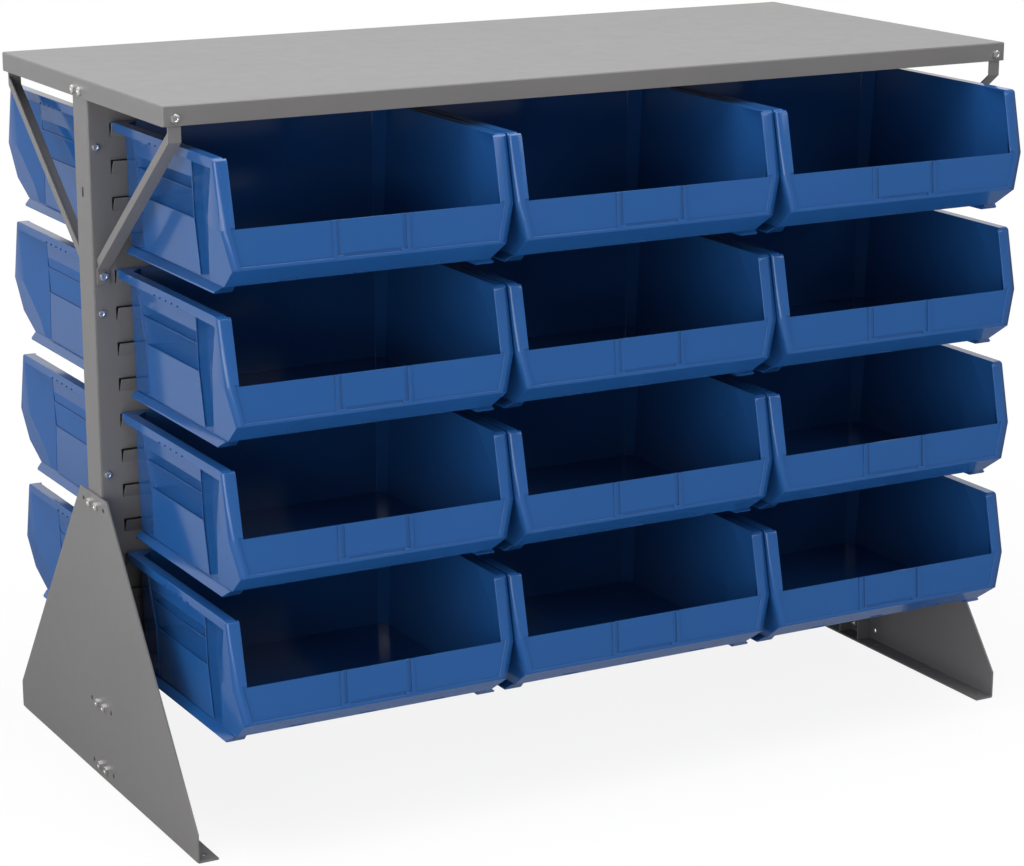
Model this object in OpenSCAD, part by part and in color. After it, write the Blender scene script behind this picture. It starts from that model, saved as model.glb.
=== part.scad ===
// Double-sided louvered floor rack with a steel worktop and hang-on hopper bins.
// Millimetres, +Z up, +Y to the rear; the origin is on the floor at the middle of the rack.

/* [Bins] */
// Width of a bin across its rim
bin_w = 419.1; // [300:0.1:480]
// Length of a bin from its hook lip to the fold of its front
bin_l = 374.65; // [320:0.05:440]
// Height of a bin from its feet to its rim
bin_h = 177.8; // [160:0.1:220]
// Thickness of a moulded wall
bin_wall = 2.8; // [2:0.1:4]
// Bins side by side on one face
bin_cols = 3; // [1:1:4]
// Rows of bins on one face
bin_rows = 4; // [1:1:5]
// Gap between neighbouring bins
bin_gap = 2.9; // [2:0.1:20]
// How far a bin lifts to come off its louver
bin_lift = 22; // [14:1:40]
// Free height left above a lifted bin
lift_spare = 3; // [2:0.5:10]

/* [Bin rim and hook] */
// Height of the skirt around the rim
rim_h = 12.8; // [8:0.1:20]
// Thickness of the rim and of the hook lip
rim_t = 2.4; // [1.6:0.1:3]
// Overhang of the rim beyond the side wall
rim_over = 12.5; // [8:0.1:18]
// Setback of the rim's front corner from the fold
rim_back = 25; // [10:0.5:60]
// Rounding of the rim's front corner
rim_corner = 10; // [3:0.5:12]
// Grip notches under the rim on each side
notch_count = 5; // [2:1:8]
// Spacing of the grip notches
notch_pitch = 20; // [14:0.5:30]
// Width of a grip notch
notch_w = 9; // [4:0.5:12]
// Height of a grip notch
notch_h = 3; // [1:0.5:5]
// Distance of the middle notch from the hook lip
notch_mid = 180; // [120:1:220]

/* [Bin front] */
// Height of the front lip above the feet
lip_z = 88.9; // [70:0.1:110]
// Setback of the lip from the fold
lip_back = 4; // [0:0.5:12]
// Height of the fold above the feet
fold_z = 37; // [28:0.1:50]
// Setback of the base's front edge from the fold
base_back = 39; // [25:0.5:60]
// Narrowing of each side between the lip and the fold
fold_in = 12.5; // [6:0.1:16]
// Width of the flange on each side of the opening
face_w = 20; // [14:0.1:26]
// Width of the sloped strip along that flange's outer edge
strip_w = 10; // [3:0.1:12]
// Fall of that strip to the edge
strip_fall = 2.2; // [0.5:0.1:2.5]
// Thickness of that flange
face_t = 3.2; // [2:0.1:5]
// Width of the label slot
label_w = 100; // [60:1:160]
// Depth of the label slot
label_d = 1.0; // [0.4:0.1:1.2]
// Width of the groove at each end of the label slot
groove_w = 4.5; // [2:0.5:8]
// Height of the label slot's sill above the fold
sill_h = 6; // [3:0.5:12]
// Drain notches under the fold
drain_count = 3; // [1:1:5]
// Spacing of the drain notches
drain_pitch = 105; // [40:1:120]
// Width of a drain notch
drain_w = 24; // [8:1:40]

/* [Bin sides and base] */
// Inward lean of a side wall over its height
wall_draft = 5; // [2:0.1:8]
// Chamfer of the rear corners in plan
rear_corner = 18; // [10:0.5:26]
// Height of the side pads above the wall
pad_t = 1.8; // [0.8:0.1:3]
// Height of a pad's lapped edge above the wall
lap_t = 0.4; // [0.2:0.1:0.7]
// Height of the rear rib above the wall
rib_t = 3.2; // [2:0.1:5]
// Rear edge of the pads at the rim
pad_rear_top = 46; // [36:0.5:60]
// Rear edge of the pads along the lower pad
pad_rear_base = 72; // [60:0.5:100]
// Front edge of the pads
pad_front = 253; // [230:0.5:260]
// Front edge of the lower pad at the base
pad_front_base = 264; // [255:0.5:275]
// Lower edge of the upper pad
pad_upper_z = 139; // [130:0.5:150]
// Upper edge of the bare band
band_top_z = 123; // [110:0.5:128]
// Lower edge of the bare band
band_low_z = 85; // [70:0.5:100]
// Front edge of the flute under the rim
flute_top = 343; // [330:0.5:345]
// Front edge of the flute at the lip
flute_lip = 327; // [310:0.5:330]
// Front edge of the flute at the fold
flute_fold = 300; // [290:0.5:310]
// How far the lower front edge of the flute is ahead of the upper one at the lip
flute_step = 4; // [3:0.5:8]
// Slope of the flute's front side
flute_slope = 13; // [11:0.5:30]
// Height of the base above the feet
base_z = 9; // [6:0.1:14]
// Width of a runner under the base
runner_w = 27; // [18:0.1:40]
// Outward reach of a runner beyond the wall's foot
runner_out = 10.7; // [5:0.1:14]
// Setback of the runners' front from the fold
runner_back = 50; // [42:0.5:80]
// Distance of the runners' rear end from the hook lip
runner_rear = 20; // [14:0.5:60]

/* [Louvers] */
// Height pitch of the louver rows
louver_pitch = 50.8; // [45:0.1:60]
// Height of a louver
louver_h = 18; // [14:0.1:22]
// How far a louver's top stands out from its sheet
louver_lean = 8.5; // [7.5:0.1:10]
// Length of one louver
louver_w = 98; // [60:1:140]
// Web between neighbouring louvers
louver_web = 8; // [5:0.5:20]
// Slit around a louver
slit = 1.6; // [1:0.1:3]
// Thickness of the panel sheet
panel_t = 1.5; // [1:0.1:2]
// Setback of the panel's sides from the posts' outer faces
panel_side = 2.2; // [1:0.1:6]
// Sheet left below the lowest louver
panel_low = 28; // [15:1:50]

/* [Frame] */
// Floor to the feet of the lowest bins
bin_floor = 168.4; // [140:0.1:240]
// Rim of the highest bins to the worktop's lower edge
top_gap = 31.8; // [28:0.1:60]
// Outermost bin to the post's outer face
end_margin = 33.1; // [31:0.1:60]
// Depth of a post
post_d = 52; // [48:0.5:70]
// Width of a post
post_w = 25.4; // [24:0.1:40]
// Thickness of a post
post_t = 2.5; // [2:0.1:3.5]
// Height of the slot in a post
slot_h = 15; // [8:0.5:24]
// Width of the slot in a post
slot_w = 7; // [4:0.5:10]
// Slot to the worktop's upper face
slot_drop = 157; // [120:1:220]

/* [Worktop] */
// Depth of the worktop
top_d = 609.6; // [480:0.1:760]
// Height of the worktop's edge
top_edge = 26.9; // [24:0.1:50]
// Thickness of the worktop sheet
top_t = 2; // [1.5:0.1:3]
// End bolts below the upper face
end_bolt_drop = 17.5; // [14:0.1:18.5]
// Clearance between the worktop's ends and the posts
end_clear = 0.2; // [0.1:0.1:1]

/* [Legs] */
// Depth of a leg on the floor
leg_d = 692; // [560:1:860]
// Height of a leg
leg_h = 430; // [300:1:520]
// Width of a leg at its top
leg_top = 100; // [90:1:140]
// Height of a leg's upright edge at the floor
leg_toe = 42; // [25:1:70]
// Thickness of a leg
leg_t = 3; // [2:0.1:5]
// Width of a leg's foot flange
foot_w = 31; // [30:0.5:60]
// Middle of the foot holes from the leg's outer face
foot_hole_in = 17.7; // [12:0.1:20]
// Outermost foot hole from the leg's end
foot_edge = 21; // [15:1:60]
// Holes in each foot flange
foot_holes = 6; // [2:2:6]
// Diameter of the foot holes
foot_hole = 8; // [6:0.5:11]
// Spacing of the bolts and holes across a leg
leg_pitch = 25.4; // [24:0.1:27]
// Lowest bolt row above the floor
leg_row_low = 18.5; // [16:0.1:30]
// Middle bolt row above the floor
leg_row_mid = 114; // [60:0.5:200]
// Highest bolt row below the leg's top
leg_row_drop = 16; // [12:0.1:30]

/* [Braces] */
// Width of a brace
brace_w = 18.5; // [16:0.1:26]
// Thickness of a brace
brace_t = 2.5; // [2:0.1:3]
// Depth of a brace's side flange
brace_flange = 12; // [8:0.1:18]
// Middle of a brace from the post's outer face
brace_in = 14.2; // [13:0.1:18]
// Upper bolt below the worktop's upper face
brace_bolt_drop = 17; // [15:0.1:19]
// Lower bolt below the worktop's upper face
brace_drop = 270.5; // [200:0.5:400]
// Length of a tab beyond its bolt
brace_tab = 11; // [8:0.1:16]
// Upper bolt to the bend of its tab
brace_bend_top = 31.5; // [28:0.1:40]
// Lower bolt to the bend of its tab
brace_bend_low = 9; // [8:0.1:24]

/* [Fasteners] */
// Diameter of the frame bolts
bolt_d = 6.35; // [6:0.05:8]
// Width across the flats of the frame bolts
bolt_af = 11.1; // [10:0.1:13]
// Height of a frame bolt's head
bolt_head = 4; // [3:0.1:6]
// Height of a frame nut
nut_h = 5.6; // [4:0.1:7]
// Diameter of the panel screws
screw_d = 5; // [4:0.5:6]
// Width across the flats of the panel screws
screw_af = 9; // [7:0.5:10]
// Height of a panel screw's head
screw_head = 3.5; // [2:0.1:5]
// Height of a panel screw's nut
screw_nut = 4; // [3:0.1:5]
// Middle of the panel screws from the post's outer face
screw_in = 10.2; // [9.5:0.1:11]
// Spacing of the panel screws
screw_pitch = 230; // [150:1:240]
// Panel screws in each row
screw_count = 4; // [2:1:4]
// Highest panel screw below the worktop's upper face
screw_drop = 92.5; // [60:0.5:120]
// Radial clearance of a bolt in its hole
hole_clear = 0.4; // [0.2:0.1:0.8]
// Bolt or screw standing past its nut
thread_out = 2; // [1:0.5:5]

/* [Clearances] */
// Louver top to the hook above it
seat_clear = 0.2; // [0.1:0.1:0.5]
// Hook lip to the back of its louver
hook_clear = 0.3; // [0.2:0.1:1]
// Hook lip to the panel's face
lip_clear = 1; // [0.6:0.1:2]
// Back wall to the tips of the louvers
back_clear = 0.4; // [0.3:0.1:1]

/* [Hidden] */
EPS = 0.01;
OVER = 1;
ROUND = 32;
CORNER_FLATS = 3;

// Places across the rack
col_pitch = bin_w + bin_gap;
post_x = (bin_cols * bin_w + (bin_cols - 1) * bin_gap) / 2 + end_margin;
leg_x = post_x + leg_t;
foot_pitch = (leg_d - 2 * foot_edge) / (foot_holes - 1);
top_l = 2 * (post_x + end_clear + top_t);
panel_x = post_x - panel_side;
brace_x = post_x - brace_in;
screw_x = post_x - screw_in;

// Places up the rack
rows_per_bin = ceil((bin_h + bin_lift + lift_spare) / louver_pitch);
row_pitch = rows_per_bin * louver_pitch;
rim_z = bin_floor + (bin_rows - 1) * row_pitch + bin_h;
edge_z = rim_z + top_gap;
top_z = edge_z + top_edge;
under_z = top_z - top_t;
louver_top_z = rim_z - rim_t - seat_clear;
end_bolt_z = top_z - end_bolt_drop;
brace_top_z = top_z - brace_bolt_drop;
brace_low_z = top_z - brace_drop;

// Places out from the rack's middle plane
sheet_y = post_d / 2;
face_y = sheet_y + panel_t;
bin_y = face_y + lip_clear;
louver_slope = louver_lean / louver_h;
louver_skin = panel_t * sqrt(1 + louver_slope * louver_slope);
louver_tip = louver_lean + louver_skin;

// Louver pattern
louver_step = louver_w + louver_web;
louver_cols = floor(2 * (post_x - post_w) / louver_step);
louver_count = floor((louver_top_z - louver_h - bin_floor) / louver_pitch) + 1;
window_h = sqrt(louver_h * louver_h + louver_lean * louver_lean) + slit;
panel_z0 = louver_top_z - louver_h - (louver_count - 1) * louver_pitch - panel_low;
panel_z1 = under_z;

// Bin sections: half widths from the bin's middle, depths from its hook lip
half_w = bin_w / 2;
wall_top = half_w - rim_over;
wall_base = wall_top - wall_draft;
back_d = sheet_y + louver_tip + back_clear - bin_y;
lip_d = bin_l - lip_back;
rim_d = bin_l - rim_back;
base_d = bin_l - base_back;
runner_d = bin_l - runner_back;
open_half = half_w - face_w;
plate_x = wall_top - rear_corner - bin_wall;
skirt_z = bin_h - rim_h;
hook_overlap = (sheet_y + louver_lean - bin_y - rim_t - hook_clear) / louver_slope;
hook_z = bin_h - rim_t - seat_clear - hook_overlap;
floor_z = base_z + bin_wall;

// Thickness that each kind of bolt clamps
leg_grip = leg_t + post_t;
end_grip = top_t + end_clear + post_t;
tab_grip = top_t + brace_t;
foot_grip = brace_t + panel_t + post_t;
panel_grip = panel_t + post_t;

SIDES = [-1, 1];
FACES = ["front", "rear"];
COLUMN_NAMES = ["left", "middle", "right", "end"];

GREY = [0.44, 0.43, 0.43];
ZINC = [0.85, 0.85, 0.84];
BLUE = [0.13, 0.29, 0.58];

// Name of one bin
function bin_name(face, row, col) = str(face, "_bin_row", row, "_", COLUMN_NAMES[col]);

// Point part of the way from a to b
function between(a, b, share) = a + (b - a) * share;

// Half width of the side wall at a height above the feet
function wall_half(z) = between(wall_base, wall_top, (z - base_z) / (bin_h - base_z));

// Depth of the front edge at a height above the feet
function front_at(z) = z >= lip_z
    ? between(lip_d, rim_d, (z - lip_z) / (bin_h - lip_z))
    : between(bin_l, lip_d, (z - fold_z) / (lip_z - fold_z));

// A depth-and-height outline swept across the bin from x0 to x1
module across(x0, x1) {
    translate([x0, 0, 0]) rotate([90, 0, 90]) linear_extrude(x1 - x0) children();
}

// A width-and-height outline swept along the bin from d0 to d1
module along(d0, d1) {
    translate([0, d1, 0]) rotate([90, 0, 0]) linear_extrude(d1 - d0) children();
}

// The same thing on the left and right of the middle
module both_sides() {
    children();
    mirror([1, 0, 0]) children();
}

// Straight cylinder along an axis through a point
module rod(d, h, at, turn) {
    translate(at) rotate(turn) cylinder(d = d, h = h, $fn = ROUND);
}

// Hexagon prism of a given width across its flats
module hexagon(af, h) {
    cylinder(d = af / cos(30), h = h, $fn = 6);
}

// Hexagon bolt whose head seats at the origin and whose shank runs down -Z
module bolt(d, af, head, grip, nut) {
    hexagon(af, head);
    length = grip + nut + thread_out;
    translate([0, 0, -length]) cylinder(d = d, h = length + EPS, $fn = ROUND);
}

// Hexagon nut seated below the grip of a bolt at the origin
module nut(d, af, h, grip) {
    translate([0, 0, -grip - h]) difference() {
        hexagon(af, h);
        translate([0, 0, -EPS]) cylinder(d = d + 2 * hole_clear, h = h + 2 * EPS, $fn = ROUND);
    }
}

// Outside of a bin's tub, seen from the side
module tub_side() {
    polygon([
        [back_d, base_z], [back_d, bin_h], [rim_d, bin_h],
        [lip_d, lip_z], [bin_l, fold_z], [base_d, base_z]
    ]);
}

// Inside of a bin's tub, seen from the side and open at the top
module hollow_side() {
    slope = (fold_z - base_z) / (bin_l - base_d);
    shift = base_z + bin_wall * sqrt(1 + slope * slope);
    inner_d = bin_l - face_t;
    polygon([
        [back_d + bin_wall, floor_z], [back_d + bin_wall, bin_h + OVER],
        [front_at(bin_h + OVER) - face_t, bin_h + OVER], [lip_d - face_t, lip_z - face_t],
        [inner_d, shift + (inner_d - base_d) * slope],
        [base_d + (floor_z - shift) / slope, floor_z]
    ]);
}

// Tub between its side walls, seen from the front
module tub_front(inset) {
    low = base_z - OVER;
    high = bin_h + OVER;
    polygon([
        [inset - wall_half(low), low], [wall_half(low) - inset, low],
        [wall_half(high) - inset, high], [inset - wall_half(high), high]
    ]);
}

// Plan of the tub with its rear corners cut off
module tub_plan(inset) {
    rear = back_d + inset;
    corner = wall_top - rear_corner + inset - inset * sqrt(2);
    reach = half_w - corner;
    polygon([
        [-corner, rear], [corner, rear], [half_w, rear + reach],
        [half_w, bin_l + OVER], [-half_w, bin_l + OVER], [-half_w, rear + reach]
    ]);
}

// Tub with its flared sides, before it is hollowed
module tub() {
    intersection() {
        across(-half_w, half_w) tub_side();
        union() {
            intersection() {
                along(0, bin_l + OVER) tub_front(0);
                linear_extrude(bin_h + OVER) tub_plan(0);
            }
            both_sides() flare();
        }
    }
}

// Space that the tub holds, with its mouth above the lip
module hollow() {
    intersection() {
        union() {
            across(-half_w, half_w) hollow_side();
            translate([-open_half, rim_d - face_w, lip_z])
                cube([2 * open_half, lip_d - rim_d + face_w + OVER, bin_h]);
        }
        along(0, bin_l + OVER) tub_front(bin_wall);
        linear_extrude(bin_h + OVER) tub_plan(bin_wall);
    }
}

// Space inside the sloped front side of a flute, whose edge runs from one point up to another
module flute_side(from, to) {
    run = to - from;
    reach = [sin(flute_slope), cos(flute_slope)] * bin_l;
    depth = [half_w, 0];
    translate(from) rotate([-atan2(run[1], run[2]), 0, 0])
        rotate([0, atan2(run[0], norm([run[1], run[2]])), 0])
            translate([0, 0, -bin_h]) linear_extrude(3 * bin_h)
                polygon([reach, reach - depth, -reach - depth, -reach]);
}

// Side flaring out through a flute to the full width at the front, on the right
module flare() {
    inner = wall_base - 2 * bin_wall;
    intersection() {
        flute_side([half_w, flute_lip, lip_z], [half_w, flute_top, skirt_z]);
        flute_side([half_w - fold_in, flute_fold, fold_z], [half_w, flute_lip + flute_step, lip_z]);
        along(pad_front + OVER, bin_l + OVER) polygon([
            [inner, base_z - OVER], [wall_base + lap_t, base_z - OVER], [half_w - fold_in, fold_z],
            [half_w, lip_z], [half_w, bin_h + OVER], [inner, bin_h + OVER]
        ]);
    }
}

// Space behind the flange where the right side flares
module flare_hollow() {
    intersection() {
        translate([-bin_wall, 0, 0]) flare();
        across(0, half_w) translate([-face_t - strip_fall, bin_wall]) tub_side();
        cube([half_w, bin_l, bin_h - rim_t]);
    }
}

// Cut that slopes the strip along a front edge of the right side, from one point up to another
module strip_cut(from, to) {
    run = to - from;
    rise = norm([run[1], run[2]]);
    translate(from) rotate([-atan2(run[1], run[2]), 0, 0]) rotate([0, atan2(run[0], rise), 0])
        translate([0, 0, -OVER]) linear_extrude(norm(run) + 2 * OVER)
            polygon([[-2 * strip_w, strip_fall], [strip_w, -2 * strip_fall], [strip_w, strip_w]]);
}

// Rim along the right side, with its grip notches
module side_rim() {
    notch_d0 = notch_mid - (notch_count - 1) / 2 * notch_pitch - notch_w / 2;
    difference() {
        along(back_d, rim_d) polygon([
            [half_w - rim_t, skirt_z], [half_w, skirt_z], [half_w, bin_h],
            [plate_x, bin_h], [plate_x, bin_h - rim_t], [half_w - rim_t, bin_h - rim_t]
        ]);
        for (i = [0:notch_count - 1])
            translate([half_w - rim_t - OVER, notch_d0 + i * notch_pitch, skirt_z - OVER])
                cube([rim_t + 2 * OVER, notch_w, notch_h + OVER]);
    }
}

// Right half of the hook across the back: the rim turned down behind a louver
module hook() {
    across(0, half_w) polygon([
        [0, hook_z], [rim_t, hook_z], [rim_t, bin_h - rim_t], [back_d + 2 * bin_wall, bin_h - rim_t],
        [back_d + 2 * bin_wall, bin_h], [0, bin_h]
    ]);
}

// Outer face of the right side between two heights, standing out by high and by low, on a backing
module siding(z1, high, z0, low) {
    polygon([
        [wall_half(z1) - pad_t, z1], [wall_half(z1) + high, z1],
        [wall_half(z0) + low, z0], [wall_half(z0) - pad_t, z0]
    ]);
}

// Lapped pads on the right side wall with a bare band between them, and the rib behind them
module pads() {
    top = skirt_z + rim_t;
    intersection() {
        along(0, bin_l) {
            siding(top, pad_t, pad_upper_z, pad_t);
            siding(pad_upper_z, pad_t, band_top_z, lap_t);
            siding(band_top_z, pad_t, band_low_z, lap_t);
            siding(band_low_z, pad_t, floor_z, pad_t);
        }
        across(0, half_w) polygon([
            [pad_rear_top - rib_t, bin_h], [pad_front, bin_h], [pad_front, band_low_z],
            [pad_front_base, base_z], [pad_rear_base - rib_t, base_z], [pad_rear_base - rib_t, band_low_z]
        ]);
    }
    intersection() {
        along(0, bin_l) siding(top, rib_t, floor_z, rib_t);
        across(0, half_w) polygon([
            [0, bin_h], [pad_rear_top, bin_h], [pad_rear_base, band_low_z],
            [pad_rear_base, base_z], [0, base_z]
        ]);
        linear_extrude(bin_h) tub_plan(0);
    }
}

// Runner under the right edge of the base, hollow below
module runner() {
    outer = wall_base + runner_out;
    inner = outer - runner_w;
    length = runner_d - runner_rear;
    difference() {
        intersection() {
            along(0, bin_l) polygon([
                [inner, 0], [outer, 0], [outer, rim_t], [wall_base + bin_wall, base_z - lap_t],
                [wall_base - bin_wall, floor_z - lap_t], [inner, floor_z - lap_t]
            ]);
            across(0, half_w) polygon([
                [runner_rear, 0], [runner_d, 0], [base_d - bin_wall, base_z], [base_d - bin_wall, floor_z],
                [runner_rear, floor_z]
            ]);
        }
        translate([inner + bin_wall, runner_rear + bin_wall, -OVER])
            cube([wall_base - inner - bin_wall, length - 2 * bin_wall, base_z - bin_wall + OVER]);
    }
}

// Label slot in the front lip: a shallow field, two end grooves and a groove along its sill
module label_slot() {
    rise = lip_z - fold_z;
    inner = label_w / 2 - groove_w;
    deep = 2 * label_d;
    translate([0, bin_l, fold_z]) rotate([atan2(lip_back, rise), 0, 0]) {
        translate([0, 0, sill_h]) linear_extrude(rise) polygon([
            [-label_w / 2, OVER], [-label_w / 2, -deep], [-inner, -deep], [-inner, -label_d],
            [inner, -label_d], [inner, -deep], [label_w / 2, -deep], [label_w / 2, OVER]
        ]);
        translate([-inner + groove_w, -deep, sill_h - groove_w / 2])
            cube([2 * (inner - groove_w), deep + OVER, groove_w]);
    }
}

// Drain notches along the lower edge of the band under the fold
module drains() {
    run = bin_l - base_d;
    rise = fold_z - base_z;
    for (i = [0:drain_count - 1])
        translate([(i - (drain_count - 1) / 2) * drain_pitch - drain_w / 2, base_d, base_z])
            rotate([-atan2(run, rise), 0, 0]) translate([0, -bin_wall / 2, bin_wall])
                cube([drain_w, bin_wall, 2 * bin_wall]);
}

// One moulded hopper bin, standing on its feet with its hook lip on the XZ plane
module hopper_bin() {
    lip_corner = [half_w, lip_d, lip_z];
    difference() {
        union() {
            tub();
            both_sides() {
                hook();
                side_rim();
                pads();
                runner();
            }
        }
        hollow();
        both_sides() {
            flare_hollow();
            strip_cut(lip_corner, [half_w, rim_d, bin_h]);
            strip_cut([half_w - fold_in, bin_l, fold_z], lip_corner);
        }
        label_slot();
        drains();
        rim_ends();
    }
}

// Front corners of the rim, rounded over into the front edge by flats
module rim_ends() {
    slope = (lip_d - rim_d) / (bin_h - lip_z);
    lean = atan(slope);
    middle = [rim_d + rim_corner * (slope - 1 / cos(lean)), bin_h - rim_corner];
    arc = [for (i = [0:CORNER_FLATS]) 90 - i * (90 - lean) / CORNER_FLATS];
    points = [for (a = arc) middle + rim_corner * [cos(a), sin(a)]];
    first = between(points[1], points[0], 2);
    last = between(points[CORNER_FLATS - 1], points[CORNER_FLATS], 2);
    across(-half_w - OVER, half_w + OVER) polygon(concat(
        [first], [for (i = [1:CORNER_FLATS - 1]) points[i]], [last, [bin_l, last[1]], [bin_l, first[1]]]
    ));
}

// A bin in its place on the rack
module bin(face, row, col) {
    x = (col - (bin_cols - 1) / 2) * col_pitch;
    z = bin_floor + (bin_rows - row) * row_pitch;
    color(BLUE) translate([x, 0, z]) rotate([0, 0, face == "front" ? 180 : 0])
        translate([0, bin_y, 0]) hopper_bin();
}

// Places of the panel screws on one end, as heights
function screw_z(i) = top_z - screw_drop - i * screw_pitch;

// Holes through a panel and the post flange behind it
module face_holes() {
    for (side = SIDES) {
        for (i = [0:screw_count - 1])
            rod(screw_d + 2 * hole_clear, post_d, [side * screw_x, post_d, screw_z(i)], [90, 0, 0]);
        rod(bolt_d + 2 * hole_clear, post_d, [side * brace_x, post_d, brace_low_z], [90, 0, 0]);
    }
}

// Louvered sheet on the rear of the posts
module louver_panel() {
    first_x = -(louver_cols * louver_step - louver_web) / 2;
    difference() {
        union() {
            translate([0, face_y, 0]) rotate([90, 0, 0]) linear_extrude(panel_t) difference() {
                translate([-panel_x, panel_z0]) square([2 * panel_x, panel_z1 - panel_z0]);
                for (i = [0:louver_cols - 1]) for (j = [0:louver_count - 1])
                    translate([first_x + i * louver_step - slit, louver_root(j)])
                        square([louver_w + 2 * slit, window_h]);
            }
            for (i = [0:louver_cols - 1]) translate([first_x + i * louver_step, 0, 0]) across(0, louver_w)
                for (j = [0:louver_count - 1]) translate([sheet_y, louver_root(j)]) polygon([
                    [0, 0], [panel_t, 0], [louver_tip, louver_h], [louver_lean, louver_h]
                ]);
        }
        face_holes();
    }
}

// Height of the root of a louver row, counted from the top
function louver_root(j) = louver_top_z - louver_h - j * louver_pitch;

module front_louver_panel() { color(GREY) rotate([0, 0, 180]) louver_panel(); }
module rear_louver_panel() { color(GREY) louver_panel(); }

// Heights of the bolt rows in a leg
function leg_rows() = [leg_row_low, leg_row_mid, leg_h - leg_row_drop];

// Holes across the right-hand end at the given sideways places
module end_holes(rows, places) {
    for (z = rows) for (y = places)
        rod(bolt_d + 2 * hole_clear, 4 * post_w, [post_x - 2 * post_w, y, z], [0, 90, 0]);
}

// Channel post at the right-hand end, its open side inward
module post() {
    inner = post_d - 2 * post_t;
    difference() {
        translate([post_x - post_w, -post_d / 2, leg_t]) cube([post_w, post_d, under_z - leg_t]);
        translate([post_x - post_w - OVER, -inner / 2, 0]) cube([post_w - post_t + OVER, inner, top_z]);
        end_holes(concat(leg_rows(), [end_bolt_z]), [-leg_pitch / 2, leg_pitch / 2]);
        for (turn = [0, 180]) rotate([0, 0, turn]) face_holes();
        translate([post_x - post_w, 0, top_z - slot_drop]) {
            translate([0, -slot_w / 2, -(slot_h - slot_w) / 2]) cube([2 * post_w, slot_w, slot_h - slot_w]);
            for (side = SIDES) translate([0, 0, side * (slot_h - slot_w) / 2]) rotate([0, 90, 0])
                cylinder(d = slot_w, h = 2 * post_w, $fn = ROUND);
        }
    }
}

module right_post() { color(GREY) post(); }
module left_post() { color(GREY) mirror([1, 0, 0]) post(); }

// Sheet leg at the right-hand end with its foot flange turned in
module leg() {
    hole_x = leg_x - foot_hole_in;
    difference() {
        union() {
            translate([post_x, 0, 0]) rotate([90, 0, 90]) linear_extrude(leg_t) polygon([
                [-leg_d / 2, 0], [leg_d / 2, 0], [leg_d / 2, leg_toe],
                [leg_top / 2, leg_h], [-leg_top / 2, leg_h], [-leg_d / 2, leg_toe]
            ]);
            translate([leg_x - foot_w, -leg_d / 2, 0]) cube([foot_w, leg_d, leg_t]);
        }
        end_holes(leg_rows(), [for (i = [-1.5:1.5]) i * leg_pitch]);
        for (i = [0:foot_holes - 1])
            rod(foot_hole, 4 * leg_t, [hole_x, (i - (foot_holes - 1) / 2) * foot_pitch, -leg_t], [0, 0, 0]);
    }
}

module right_leg() { color(GREY) leg(); }
module left_leg() { color(GREY) mirror([1, 0, 0]) leg(); }

// Worktop: a sheet turned down along all four edges
module worktop() {
    color(GREY) difference() {
        translate([-top_l / 2, -top_d / 2, edge_z]) cube([top_l, top_d, top_edge]);
        translate([-top_l / 2 + top_t, -top_d / 2 + top_t, edge_z - OVER])
            cube([top_l - 2 * top_t, top_d - 2 * top_t, top_edge - top_t + OVER]);
        for (turn = [0, 180]) rotate([0, 0, turn])
            end_holes([end_bolt_z], [-leg_pitch / 2, leg_pitch / 2]);
        for (side = SIDES)
            rod(bolt_d + 2 * hole_clear, 2 * top_d, [side * brace_x, top_d, brace_top_z], [90, 0, 0]);
    }
}

// Brace at the rear right: a bar with a side flange and a flat tab at each end
module brace() {
    out_y = top_d / 2 - top_t;
    in_y = face_y + brace_t;
    high = [out_y, brace_top_z - brace_bend_top];
    low = [in_y, brace_low_z + brace_bend_low];
    run = (high - low) / norm(high - low);
    normal = [-run[1], run[0]];
    skin = [0, brace_t / run[0]];
    slope = run[1] / run[0];
    trim = run * brace_flange * slope;
    top = high + [0, brace_flange / run[0]];
    x0 = brace_x - brace_w / 2;
    x1 = brace_x + brace_w / 2;
    difference() {
        union() {
            across(x0, x1) polygon([
                [out_y, brace_top_z + brace_tab], high, low, [in_y, brace_low_z - brace_tab],
                [face_y, brace_low_z - brace_tab], low + skin - brace_t * [1, slope],
                high + skin - brace_t * [1, slope], [out_y - brace_t, brace_top_z + brace_tab]
            ]);
            across(x1 - brace_t, x1) polygon([
                low + trim, high, top, low + trim + normal * brace_flange
            ]);
        }
        rod(bolt_d + 2 * hole_clear, top_d, [brace_x, top_d, brace_top_z], [90, 0, 0]);
        rod(bolt_d + 2 * hole_clear, top_d, [brace_x, top_d, brace_low_z], [90, 0, 0]);
    }
}

module rear_right_brace() { color(GREY) brace(); }
module rear_left_brace() { color(GREY) mirror([1, 0, 0]) brace(); }
module front_right_brace() { color(GREY) mirror([0, 1, 0]) brace(); }
module front_left_brace() { color(GREY) rotate([0, 0, 180]) brace(); }

// Places of the leg bolts at the right-hand end, their heads outward
module at_leg_bolts() {
    for (z = leg_rows()) for (side = SIDES)
        translate([leg_x, side * leg_pitch / 2, z]) rotate([0, 90, 0]) children();
}

module right_leg_bolts() { color(ZINC) at_leg_bolts() bolt(bolt_d, bolt_af, bolt_head, leg_grip, nut_h); }
module right_leg_nuts() { color(ZINC) at_leg_bolts() nut(bolt_d, bolt_af, nut_h, leg_grip); }
module left_leg_bolts() { mirror([1, 0, 0]) right_leg_bolts(); }
module left_leg_nuts() { mirror([1, 0, 0]) right_leg_nuts(); }

// Places of the worktop's end bolts, their heads outward
module at_end_bolts() {
    for (turn = [0, 180]) rotate([0, 0, turn]) for (side = SIDES)
        translate([top_l / 2, side * leg_pitch / 2, end_bolt_z]) rotate([0, 90, 0]) children();
}

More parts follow.
